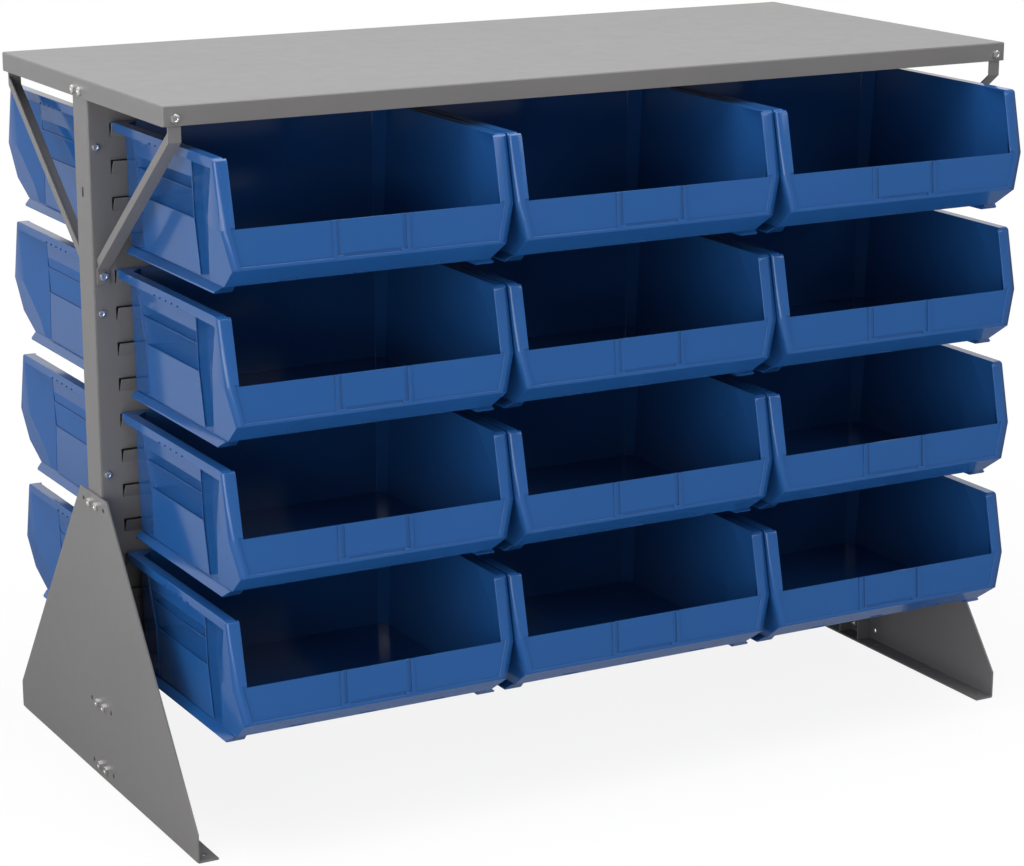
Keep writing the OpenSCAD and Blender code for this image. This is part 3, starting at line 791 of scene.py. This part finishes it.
@dataclass
class Fasteners:
    """Plated hexagon bolts, screws and nuts, grown on the places of their nodes' solids."""

    bolt_flats: float = 11.1 * MM
    bolt_head: float = 4.0 * MM
    bolt_shank: float = 6.35 * MM
    nut_depth: float = 5.6 * MM
    screw_flats: float = 9.0 * MM
    screw_head: float = 3.5 * MM
    screw_shank: float = 5.0 * MM
    screw_nut: float = 4.0 * MM
    clearance: float = 0.4 * MM
    dish: float = 0.6 * MM
    dish_share: float = 0.58
    face_share: float = 0.475
    tip_share: float = 0.3
    bore_reach: float = 3.0
    sides: int = 6
    facets: int = 24
    chamfer: float = math.radians(30.0)
    crease: float = math.radians(35.0)

    def groups(self) -> list[HexGroup]:
        """Every fastener node with its kind."""
        made = []
        for place, run in (
            ("left_leg", Run.ALONG), ("right_leg", Run.ALONG), ("worktop", Run.ALONG),
            ("brace_upper", Run.DEEP), ("brace_lower", Run.DEEP),
        ):
            made += [
                HexGroup(f"{place}_bolts", run, self.bolt_flats, self.bolt_head, self.bolt_shank, False),
                HexGroup(f"{place}_nuts", run, self.bolt_flats, self.nut_depth, self.bolt_shank, True),
            ]
        return made + [
            HexGroup("panel_screws", Run.DEEP, self.screw_flats, self.screw_head, self.screw_shank, False),
            HexGroup("panel_nuts", Run.DEEP, self.screw_flats, self.screw_nut, self.screw_shank, True),
        ]

    def build(self, zinc: Material) -> None:
        """Makes every group in the place of its node.

        Args:
            zinc: Finish of the fasteners.
        """
        for group in self.groups():
            places, length = self.places(group)
            name = f"{group.node}_plated"
            tree = ShapeTree(name)
            shape = self.nut(tree, group) if group.is_nut else self.bolt(tree, group, length)
            turn = tree.wire(
                "GeometryNodeInputNamedAttribute", 0, {"data_type": "FLOAT_VECTOR"}, {"Name": "turn"}
            )
            turn = tree.wire("FunctionNodeEulerToRotation", 0, sockets={0: turn})
            values = {"Points": tree.source(), "Instance": shape, "Rotation": turn}
            spread = tree.wire("GeometryNodeInstanceOnPoints", 0, sockets=values)
            mesh = tree.mesh(name, places, spread, zinc)
            mesh.set_sharp_from_angle(angle=self.crease)
            hand_over(name, mesh, group.node, RACK, Slot.ZINC)

    def places(self, group: HexGroup) -> tuple[Mesh, float]:
        """Finds where each solid of a node seats, and which way it points.

        Args:
            group: Node and the axis of its fasteners.

        Returns:
            A mesh with a point and a turn for each fastener, and the length of one solid along its axis.
        """
        bm = bmesh.new()
        bm.from_mesh(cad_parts[group.node].data)
        bmesh.ops.remove_doubles(bm, verts=bm.verts, dist=SolidCopy.MERGE)
        axis = group.run.value
        points, turns, length = [], [], 0.0
        for island in self.islands(bm):
            lo = Vector([min(v.co[i] for v in island) for i in range(3)])
            hi = Vector([max(v.co[i] for v in island) for i in range(3)])
            middle = (lo + hi) / 2
            outward = Vector()
            outward[axis] = math.copysign(1.0, middle[axis])
            length = hi[axis] - lo[axis]
            points.append(middle + outward * (length / 2 - group.depth))
            turns.extend(Matrix((UP, outward.cross(UP), outward)).transposed().to_euler())
        bm.free()
        mesh = bpy.data.meshes.new(f"{group.node}_places")
        mesh.from_pydata(points, [], [])
        mesh.attributes.new("turn", "FLOAT_VECTOR", "POINT").data.foreach_set("vector", turns)
        return mesh, length

    @staticmethod
    def islands(bm: bmesh.types.BMesh) -> Iterable[list]:
        """Splits a mesh into its separate solids.

        Args:
            bm: Mesh of one or more solids.

        Returns:
            The vertices of each solid.
        """
        left = set(bm.verts)
        while left:
            island, edge = [], [min(left, key=lambda v: tuple(v.co))]
            left.discard(edge[0])
            while edge:
                vertex = edge.pop()
                island.append(vertex)
                for link in vertex.link_edges:
                    other = link.other_vert(vertex)
                    if other in left:
                        left.discard(other)
                        edge.append(other)
            yield island

    def hexagon(self, tree: ShapeTree, flats: Wire, depth: Wire, both_ends: bool) -> Wire:
        """Hexagon block on the seat, its corners taken down by a cone.

        Args:
            tree: Tree that is being written.
            flats: Width across the flats.
            depth: Height of the block.
            both_ends: Whether the seat end is coned too, as on a nut.

        Returns:
            The block, from the seat up.
        """
        corner = 0.5 / math.cos(math.pi / self.sides)
        face = flats * self.face_share
        spread = face + depth / math.tan(self.chamfer)
        block = tree.cylinder(self.sides, flats * corner, depth)
        block = tree.moved(block, tree.vector(0.0, 0.0, depth * 0.5))
        block = tree.boolean("INTERSECT", block, tree.cone(self.facets, face, spread, depth))
        if both_ends:
            block = tree.boolean("INTERSECT", block, tree.cone(self.facets, spread, face, depth))
        return block

    def bolt(self, tree: ShapeTree, group: HexGroup, length: float) -> Wire:
        """Bolt or screw whose head seats at the origin.

        Args:
            tree: Tree that is being written.
            group: Sizes of the head and shank.
            length: Whole length of the solid.

        Returns:
            The bolt, its shank down.
        """
        flats = tree.size("Across flats", group.flats)
        depth = tree.size("Head height", group.depth)
        radius = tree.size("Shank radius", group.shank / 2)
        reach = tree.size("Shank length", length - group.depth)
        tip = radius * self.tip_share
        stem = reach - tip
        shank = tree.cylinder(self.facets, radius, stem)
        point = tree.cone(self.facets, radius, radius - tip, tip)
        hollow = tree.size("Dish depth", self.dish)
        rim = flats * (0.5 * self.dish_share)
        cutter = tree.cone(self.facets, rim + hollow, rim - hollow, hollow * 2.0)
        cutter = tree.moved(cutter, tree.vector(0.0, 0.0, depth - hollow))
        head = tree.boolean("DIFFERENCE", self.hexagon(tree, flats, depth, False), cutter)
        return tree.joined(
            head,
            tree.moved(shank, tree.vector(0.0, 0.0, stem * -0.5)),
            tree.moved(point, tree.vector(0.0, 0.0, reach * -1.0)),
        )

    def nut(self, tree: ShapeTree, group: HexGroup) -> Wire:
        """Nut with its bore, its outer end on the seat plane.

        Args:
            tree: Tree that is being written.
            group: Sizes of the nut and its bolt.

        Returns:
            The nut.
        """
        flats = tree.size("Across flats", group.flats)
        depth = tree.size("Nut height", group.depth)
        bore = tree.size("Bore radius", group.shank / 2 + self.clearance)
        hole = tree.cylinder(self.facets, bore, depth * self.bore_reach)
        return tree.boolean("DIFFERENCE", self.hexagon(tree, flats, depth, True), hole)


@dataclass
class HopperBins:
    """The moulded bins: one bin is softened, and a copy goes to every place."""

    faces: tuple[str, ...] = ("front", "rear")
    columns: tuple[str, ...] = ("left", "middle", "right")
    rows: int = 4
    edge: float = 0.8 * MM
    fine_edge: float = 0.35 * MM
    edge_flats: int = 2
    fine_sharp: float = math.radians(50.0)
    band: tuple[float, float] = (86.0 * MM, 138.0 * MM)
    flute_reach: tuple[float, float] = (270.0 * MM, 350.0 * MM)
    wall_span: tuple[float, float] = (190.0 * MM, 200.0 * MM)
    wall_facing: float = 0.94
    flute_facing: float = 0.02
    flange_drop: float = 0.1
    step_facing: float = 0.5
    step_rise: float = 0.9
    flute_turn: float = math.radians(14.0)
    flange_lean: float = math.radians(3.5)
    fold_height: float = 37.0 * MM
    lip_height: float = 88.9 * MM
    lip_back: float = 4.0 * MM
    field_foot: float = 40.5 * MM
    field_inner: float = 55.5 * MM
    field_outer: tuple[float, float] = (184.6 * MM, 196.5 * MM)
    field_depth: float = 1.6 * MM
    field_reach: float = 3.0 * MM
    bead_radius: float = 0.8 * MM
    bead_flats: int = 12
    beads: tuple[tuple[Triple, Triple], ...] = (
        ((198.3 * MM, 253.0 * MM, 166.0 * MM), (196.0 * MM, 253.0 * MM, 85.0 * MM)),
        ((196.0 * MM, 253.0 * MM, 85.0 * MM), (193.9 * MM, 263.4 * MM, 13.0 * MM)),
        ((196.0 * MM, 73.0 * MM, 85.0 * MM), (196.0 * MM, 253.0 * MM, 85.0 * MM)),
        ((197.1 * MM, 62.4 * MM, 123.0 * MM), (197.1 * MM, 253.0 * MM, 123.0 * MM)),
    )

    def nodes(self) -> list[str]:
        """Names of all the bins' nodes."""
        return [
            f"{face}_bin_row{row + 1}_{column}"
            for face in self.faces for row in range(self.rows) for column in self.columns
        ]

    @staticmethod
    def place(node: str) -> Matrix:
        """Turn and place of a bin, from the middle of its hook lip at its feet.

        Args:
            node: Name of the bin's node.

        Returns:
            Matrix from a bin at the origin to its place.
        """
        lo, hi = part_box(node)
        is_front = node.startswith("front")
        lip = Matrix.Translation(((lo.x + hi.x) / 2, hi.y if is_front else lo.y, lo.z))
        return lip @ Matrix.Rotation(math.pi if is_front else 0.0, 4, "Z")

    def build(self, plastic: Material) -> None:
        """Makes every bin in the place of its node.

        Args:
            plastic: Finish of the bins.
        """
        pattern = self.nodes()[-1]
        copy = SolidCopy(pattern)
        copy.ease(self.edge, self.edge_flats)
        for side in (-1.0, 1.0):
            copy.cut(self.front_field(pattern, side))
        copy.ease(self.fine_edge, self.edge_flats, self.fine_sharp)
        for side in (-1.0, 1.0):
            for start, end in self.beads:
                copy.add(self.bead(pattern, side, start, end))
        moulded = copy.mesh("moulded_bin", plastic)
        moulded.transform(self.place(pattern).inverted())
        self.dress(moulded)
        self.shade(moulded)
        for node in self.nodes():
            name = f"{node}_moulded"
            mesh = moulded.copy()
            mesh.name = name
            mesh.transform(self.place(node))
            hand_over(name, mesh, node, f"{node}_body", Slot.PLASTIC)

    def front_field(self, node: str, side: float) -> Mesh:
        """Shape that is cut out of the front beside the label slot.

        Args:
            node: Bin that it is placed on.
            side: Minus one or one, for the end of the front.

        Returns:
            The closed shape.
        """
        lo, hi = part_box(node)
        head = self.lip_height + self.field_reach
        corners = (
            (self.field_inner, self.field_foot), (self.field_outer[0], self.field_foot),
            (self.field_outer[1], head), (self.field_inner, head),
        )
        lean = self.lip_back / (self.lip_height - self.fold_height)
        points = [
            (side * x, hi.y - lo.y - lean * (z - self.fold_height) + depth, z)
            for depth in (-self.field_depth, self.field_reach) for x, z in corners
        ]
        return self.hull("front_field", node, points)

    def bead(self, node: str, side: float, start: Triple, end: Triple) -> Mesh:
        """Bead along the edge of a side pad, half sunk in the wall.

        Args:
            node: Bin that it is placed on.
            side: Minus one or one, for the side of the bin.
            start: One end of its middle line.
            end: Other end of its middle line.

        Returns:
            The closed bead.
        """
        ends = [Vector((side * x, y, z)) for x, y, z in (start, end)]
        along = (ends[1] - ends[0]).normalized()
        over = self.bead_radius * along.orthogonal().normalized()
        flat = 2.0 * math.pi / self.bead_flats
        turns = [Matrix.Rotation(flat * step, 3, along) for step in range(self.bead_flats)]
        return self.hull("pad_bead", node, [middle + turn @ over for middle in ends for turn in turns])

    def hull(self, name: str, node: str, points: Iterable[Sequence[float]]) -> Mesh:
        """Smallest closed shape around some points of a bin.

        Args:
            name: Name of the shape.
            node: Bin that it is placed on.
            points: Points, from the middle of the bin's hook lip.

        Returns:
            The closed shape in its place.
        """
        bm = bmesh.new()
        for point in points:
            bm.verts.new(point)
        bmesh.ops.convex_hull(bm, input=bm.verts)
        bmesh.ops.recalc_face_normals(bm, faces=bm.faces)
        mesh = bpy.data.meshes.new(name)
        bm.to_mesh(mesh)
        bm.free()
        mesh.transform(self.place(node))
        return mesh

    def dress(self, mesh: Mesh) -> None:
        """Marks the steps around the fields on the front as matt and as places of painted shade, darker like
        the shade in those grooves.

        Args:
            mesh: Bin with the middle of its hook lip at the origin.
        """
        front = max(v.co.y for v in mesh.vertices) - self.lip_back - 2.0 * self.field_depth
        matt_shade_marks = []
        for face in mesh.polygons:
            middle, normal = face.center, face.normal
            on_front = middle.y > front and self.fold_height < middle.z < self.lip_height
            is_steep = normal.y < self.step_facing and normal.z < self.step_rise
            matt_shade_marks.append(float(on_front and is_steep and abs(middle.x) < self.field_outer[0]))
        # each mark gives matt roughness and painted shade to its face
        mesh.attributes.new(PLASTIC.field, "FLOAT", "FACE").data.foreach_set("value", matt_shade_marks)
        LOG.info("moulded bin: %d matt faces of %d", sum(matt_shade_marks), len(matt_shade_marks))

    def shade(self, mesh: Mesh) -> None:
        """Shades each flute and bare band as one hollow and each front flange as one plane, over their flats.

        Args:
            mesh: Bin with the middle of its hook lip at the origin.
        """
        hollow = Vector((math.cos(self.flute_turn), -math.sin(self.flute_turn), 0.0))
        plane = Vector((math.cos(self.flange_lean), 0.0, -math.sin(self.flange_lean)))
        normals = [corner.vector.copy() for corner in mesh.corner_normals]
        for face in mesh.polygons:
            points = [mesh.vertices[index].co for index in face.vertices]
            side = math.copysign(1.0, face.center.x)
            is_wall = self.wall_span[0] < min(abs(p.x) for p in points) < self.wall_span[1]
            if side * face.normal.x < self.wall_facing or not is_wall:
                continue
            reach = max(p.y for p in points)
            begin, end = self.flute_reach
            in_band = self.band[0] < face.center.z < self.band[1] and reach < begin
            in_flute = begin < reach < end and face.normal.y < self.flute_facing
            in_flange = reach >= end and face.normal.z < -self.flange_drop
            if in_band or in_flute or in_flange:
                turned = plane if in_flange else hollow
                for corner in face.loop_indices:
                    normals[corner] = Vector((side * turned.x, turned.y, turned.z))
        mesh.normals_split_custom_set(normals)


@dataclass(frozen=True)
class SoftLight:
    """A soft box: its place, what it looks at, its sides and its power."""

    name: str
    at: Triple
    aim: Triple
    width: float
    height: float
    watts: float

    def build(self) -> None:
        """Hangs the light."""
        lamp = bpy.data.lights.new(self.name, "AREA")
        lamp.shape = "RECTANGLE"
        lamp.size = self.width
        lamp.size_y = self.height
        lamp.energy = self.watts
        holder = linked(bpy.data.objects.new(self.name, lamp))
        holder.location = self.at
        holder.rotation_euler = (Vector(self.aim) - Vector(self.at)).to_track_quat("-Z", "Y").to_euler()


@dataclass
class Studio:
    """White floor and surround, soft boxes and the camera."""

    floor_size: float = 40.0
    floor_tone: float = 0.92
    least_clear: float = 0.88
    clear_span: tuple[float, float] = (0.9, 2.2)
    wall_at: float = 7.0
    wall_height: float = 8.0
    # painted shade of the floor as seen in reflections: tone near the rack and beyond its left end, and where
    # it changes
    reflected_shade_tones: tuple[float, float] = (0.24, 0.54)
    reflected_shade_span: tuple[float, float] = (0.8, 1.25)
    sky: float = 0.32
    lights: tuple[SoftLight, ...] = (
        SoftLight("overhead_box", (-0.4, -0.5, 3.9), (0.0, 0.0, 1.0), 4.5, 3.8, 182.0),
        SoftLight("left_box", (-4.2, -1.0, 1.05), (-0.6, 0.0, 0.4), 3.0, 2.0, 62.0),
        SoftLight("corner_fill", (-3.8, -3.2, 1.0), (0.0, 0.0, 0.4), 3.2, 2.2, 38.0),
        SoftLight("right_fill", (2.6, -3.6, 3.0), (0.0, 0.0, 0.5), 2.8, 2.0, 34.0),
    )
    camera_at: Triple = (-2.0090, -3.6587, 1.5443)
    camera_pitch: float = math.radians(74.63)
    camera_yaw: float = math.radians(-28.86)
    camera_reach: float = 200.0
    lens: float = 100.44
    sensor: float = 36.0
    shift: tuple[float, float] = (-0.0021, 0.0217)

    @staticmethod
    def ray(graph: Graph, kind: str) -> Wire:
        """One for the rays of a kind."""
        return graph.wire("ShaderNodeLightPath", f"Is {kind} Ray")

    @staticmethod
    def ramp(graph: Graph, value: Wire, start: float, end: float, least: float, most: float = 1.0) -> Wire:
        """Smooth rise from a least value to a greatest.

        Args:
            graph: Graph that is being written.
            value: What the rise follows.
            start: Where it starts.
            end: Where it ends.
            least: Value before the start.
            most: Value after the end.

        Returns:
            The rise.
        """
        return graph.wire(
            "ShaderNodeMapRange", 0, {"interpolation_type": "SMOOTHSTEP"},
            {"Value": value, "From Min": start, "From Max": end, "To Min": least, "To Max": most},
        )

    def surround(self) -> None:
        """Lights the world softly and shows it white."""
        world = bpy.data.worlds.new("white_surround")
        world.use_nodes = True
        graph = Graph(world.node_tree)
        soft, white = (
            graph.wire("ShaderNodeBackground", 0, sockets={"Color": WHITE, "Strength": power})
            for power in (self.sky, 1.0)
        )
        seen = self.ray(graph, "Camera")
        mixed = graph.wire("ShaderNodeMixShader", 0, sockets={0: seen, 1: soft, 2: white})
        graph.node("ShaderNodeOutputWorld", sockets={"Surface": mixed})
        bpy.context.scene.world = world

    def floor(self) -> None:
        """Lays the floor and the wall behind it, which clear to white away from the rack. In reflections the
        floor carries painted shade: a darker tone under the rack and to its right, lighter beyond its left
        end.
        """
        half, back, top = self.floor_size / 2, self.wall_at, self.wall_height
        flat = [(-half, -half, 0.0), (half, -half, 0.0), (half, back, 0.0), (-half, back, 0.0)]
        mesh = bpy.data.meshes.new("studio_floor")
        mesh.from_pydata(flat + [(half, back, top), (-half, back, top)], [], [(0, 1, 2, 3), (3, 2, 4, 5)])
        made = bpy.data.materials.new("pale_floor")
        made.use_nodes = True
        graph = Graph(made.node_tree)
        place = graph.wire("ShaderNodeTexCoord", "Object")
        away = graph.wire("ShaderNodeVectorMath", "Value", {"operation": "LENGTH"}, {0: place})
        clear = self.ramp(graph, away, *self.clear_span, self.least_clear)
        split = graph.node("ShaderNodeSeparateXYZ", sockets={0: place})
        to_left = 0.0 - Wire(graph, split.outputs["X"])
        on_wall = Wire(graph, split.outputs["Z"]) > MM
        # painted shade: the floor seen in reflections is darker under and right of the rack
        reflected_shade = self.ramp(graph, to_left, *self.reflected_shade_span, *self.reflected_shade_tones)
        seen, glossy = self.ray(graph, "Camera"), self.ray(graph, "Glossy")
        painted_floor_level = graph.math("MAXIMUM", seen, graph.math("MAXIMUM", reflected_shade, on_wall))
        tone = graph.blend(painted_floor_level, BLACK, WHITE)
        pale = graph.wire("ShaderNodeBsdfDiffuse", 0, sockets={"Color": (*[self.floor_tone] * 3, 1.0)})
        white = graph.wire("ShaderNodeEmission", 0, sockets={"Color": tone})
        share = graph.math("MAXIMUM", seen * clear, glossy)
        mixed = graph.wire("ShaderNodeMixShader", 0, sockets={0: share, 1: pale, 2: white})
        graph.node("ShaderNodeOutputMaterial", sockets={"Surface": mixed})
        mesh.materials.append(made)
        linked(bpy.data.objects.new("studio_floor", mesh))

    def camera(self) -> None:
        """Sets the camera where the photograph was taken from."""
        eye = bpy.data.cameras.new("photo_camera")
        eye.sensor_fit = "HORIZONTAL"
        eye.sensor_width = self.sensor
        eye.lens = self.lens
        eye.shift_x, eye.shift_y = self.shift
        eye.clip_end = self.camera_reach
        holder = linked(bpy.data.objects.new("photo_camera", eye))
        holder.location = self.camera_at
        holder.rotation_euler = (self.camera_pitch, 0.0, self.camera_yaw)
        bpy.context.scene.camera = holder

    def build(self) -> None:
        """Builds the whole studio."""
        bpy.context.scene.view_settings.view_transform = "Standard"
        self.camera()
        self.surround()
        self.floor()
        for light in self.lights:
            light.build()


def main() -> None:
    """Builds the studio and dresses the rack piece by piece."""
    logging.basicConfig(level=logging.INFO, format="%(name)s: %(message)s")
    Studio().build()
    paint, zinc, plastic = (finish.material() for finish in (PAINT, ZINC, PLASTIC))
    SteelFrame().build(paint)
    LouverPanels().build(paint)
    Fasteners().build(zinc)
    HopperBins().build(plastic)


if __name__ == "__main__":
    main()
